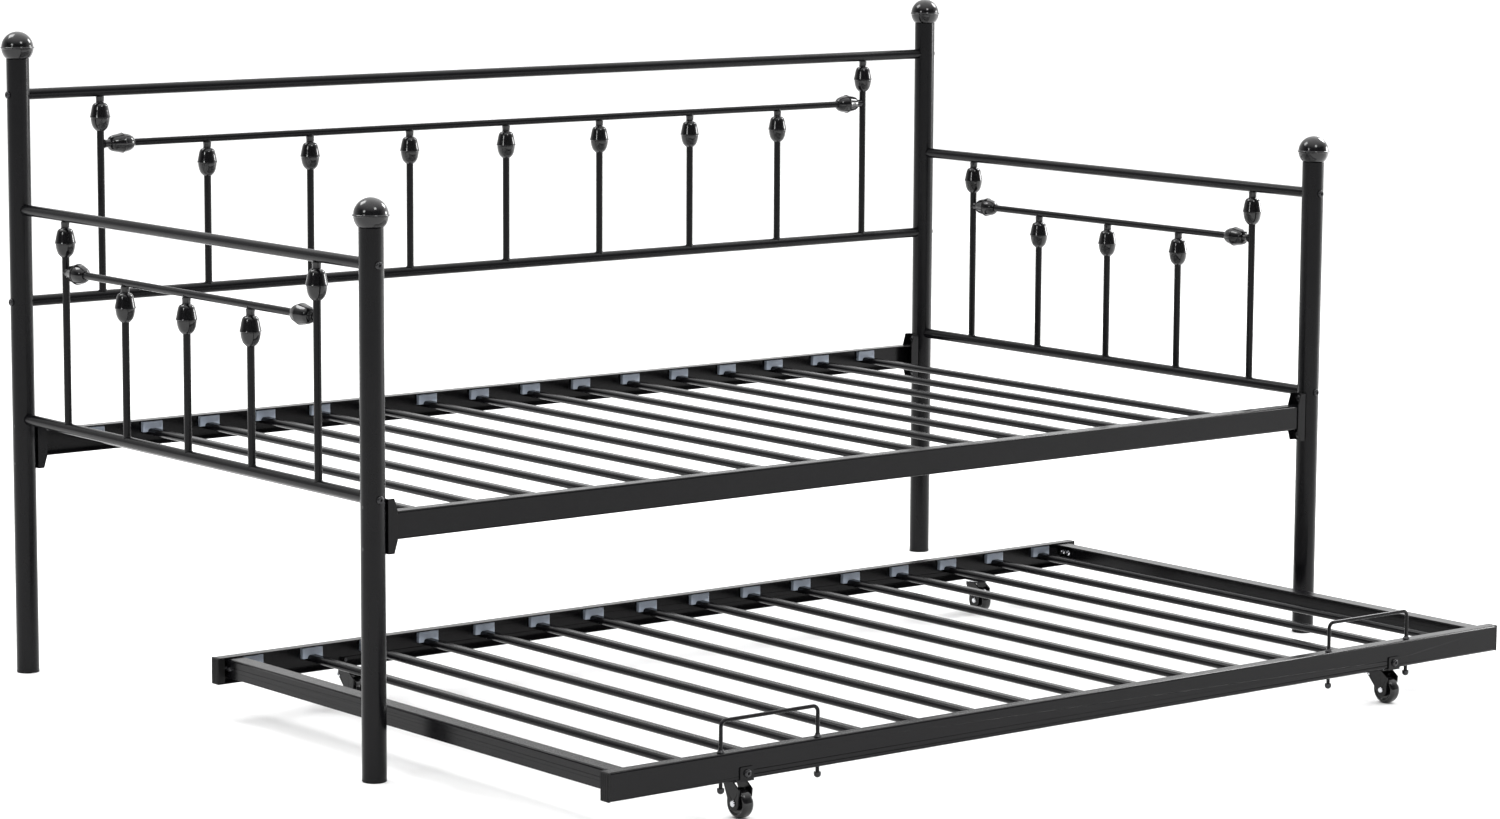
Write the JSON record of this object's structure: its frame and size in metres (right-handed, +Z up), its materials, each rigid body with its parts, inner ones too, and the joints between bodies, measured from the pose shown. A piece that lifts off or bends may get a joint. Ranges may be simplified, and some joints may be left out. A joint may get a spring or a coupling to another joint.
{
  "type": "trundle bed",
  "caption": "Black metal daybed with ball-topped posts, spindle panels and a slatted deck, and a low slatted trundle on swivel casters that rolls out from under it.",
  "frame": {"origin": "on the floor, in the middle of the footprint that the daybed and its rolled-out trundle cover", "axes": "+X along the bed to its right, -Y the open front where the trundle rolls out, +Y the back panel, +Z up"},
  "size_m": [1.99, 1.5764, 1.052],
  "materials": {
    "powder_coat": "semi-gloss black powder coat with fine orange peel",
    "gloss_lacquer": "glossy black lacquer on the turned knobs and finials",
    "black_plastic": "satin black moulded plastic",
    "black_bolts": "black-finished socket bolts, collars and nuts",
    "zinc": "bright zinc-plated steel",
    "holder_plastic": "light blue-grey moulded plastic",
    "fork_paint": "black painted pressed steel",
    "wheel_plastic": "glossy black moulded plastic"
  },
  "bodies": {
    "daybed": {"back_top_rail": "powder_coat", "frame_bolts": "black_bolts", "rail_end_nuts": "zinc", "back_bottom_rail": "powder_coat", "back_spindles": "powder_coat", "back_knobs": "gloss_lacquer", "back_middle_rail": "powder_coat", "left_arm_top_rail": "powder_coat", "left_arm_bottom_rail": "powder_coat", "left_arm_spindles": "powder_coat", "left_arm_knobs": "gloss_lacquer", "left_arm_middle_rail": "powder_coat", "right_arm_top_rail": "powder_coat", "right_arm_bottom_rail": "powder_coat", "right_arm_spindles": "powder_coat", "right_arm_knobs": "gloss_lacquer", "right_arm_middle_rail": "powder_coat", "deck_front_rail": "powder_coat", "deck_rear_rail": "powder_coat", "deck_slats": "powder_coat", "deck_slat_holders": "holder_plastic", "deck_bolts": "black_bolts", "deck_brackets": "powder_coat", "post_front_left": "powder_coat", "finials": "gloss_lacquer", "foot_plugs": "black_plastic", "post_front_right": "powder_coat", "post_rear_left": "powder_coat", "post_rear_right": "powder_coat"},
    "trundle": {"mattress_stop_left": "powder_coat", "stop_collars": "black_bolts", "stop_nuts": "black_bolts", "mattress_stop_right": "powder_coat", "trundle_front_rail": "powder_coat", "trundle_end_caps": "black_plastic", "trundle_rear_rail": "powder_coat", "corner_bolts": "zinc", "corner_plates": "powder_coat", "trundle_left_rail": "powder_coat", "trundle_right_rail": "powder_coat", "trundle_slats": "powder_coat", "trundle_slat_holders": "holder_plastic", "caster_brackets": "powder_coat", "swivel_races": "zinc", "caster_kingpins": "zinc", "caster_plate_bolts": "black_bolts"},
    "swivel_front_left": {"caster_fork_front_left": "fork_paint", "caster_axle_front_left": "zinc"},
    "wheel_front_left": {"caster_wheel_front_left": "wheel_plastic"},
    "swivel_front_right": {"caster_fork_front_right": "fork_paint", "caster_axle_front_right": "zinc"},
    "wheel_front_right": {"caster_wheel_front_right": "wheel_plastic"},
    "swivel_rear_left": {"caster_fork_rear_left": "fork_paint", "caster_axle_rear_left": "zinc"},
    "wheel_rear_left": {"caster_wheel_rear_left": "wheel_plastic"},
    "swivel_rear_right": {"caster_fork_rear_right": "fork_paint", "caster_axle_rear_right": "zinc"},
    "wheel_rear_right": {"caster_wheel_rear_right": "wheel_plastic"},
    "brake_front_right": {"brake_lever_front_right": "zinc"},
    "brake_rear_left": {"brake_lever_rear_left": "zinc"}
  },
  "joints": [
    {"name": "trundle_slide", "type": "slide", "parent": "daybed", "child": "trundle", "axis": [0, -1, 0], "range_m": [-0.51, 0.558]},
    {"name": "swivel_front_left_turn", "type": "hinge", "parent": "trundle", "child": "swivel_front_left", "pos_m": [-0.68381, -0.75425, 0.0535], "axis": [0, 0, 1], "continuous": true},
    {"name": "wheel_front_left_spin", "type": "hinge", "parent": "swivel_front_left", "child": "wheel_front_left", "pos_m": [-0.68381, -0.76625, 0.022], "axis": [1, 0, 0], "continuous": true},
    {"name": "swivel_front_right_turn", "type": "hinge", "parent": "trundle", "child": "swivel_front_right", "pos_m": [0.64081, -0.75425, 0.0535], "axis": [0, 0, 1], "continuous": true},
    {"name": "wheel_front_right_spin", "type": "hinge", "parent": "swivel_front_right", "child": "wheel_front_right", "pos_m": [0.64081, -0.76625, 0.022], "axis": [1, 0, 0], "continuous": true},
    {"name": "swivel_rear_left_turn", "type": "hinge", "parent": "trundle", "child": "swivel_rear_left", "pos_m": [-0.68381, 0.22875, 0.0535], "axis": [0, 0, 1], "continuous": true},
    {"name": "wheel_rear_left_spin", "type": "hinge", "parent": "swivel_rear_left", "child": "wheel_rear_left", "pos_m": [-0.68381, 0.21675, 0.022], "axis": [1, 0, 0], "continuous": true},
    {"name": "swivel_rear_right_turn", "type": "hinge", "parent": "trundle", "child": "swivel_rear_right", "pos_m": [0.64081, 0.22875, 0.0535], "axis": [0, 0, 1], "continuous": true},
    {"name": "wheel_rear_right_spin", "type": "hinge", "parent": "swivel_rear_right", "child": "wheel_rear_right", "pos_m": [0.64081, 0.21675, 0.022], "axis": [1, 0, 0], "continuous": true},
    {"name": "brake_front_right_press", "type": "hinge", "parent": "swivel_front_right", "child": "brake_front_right", "pos_m": [0.64081, -0.73975, 0.044], "axis": [1, 0, 0], "range_deg": [-12.5, 0]},
    {"name": "brake_rear_left_press", "type": "hinge", "parent": "swivel_rear_left", "child": "brake_rear_left", "pos_m": [-0.68381, 0.24325, 0.044], "axis": [1, 0, 0], "range_deg": [-12.5, 0]}
  ]
}
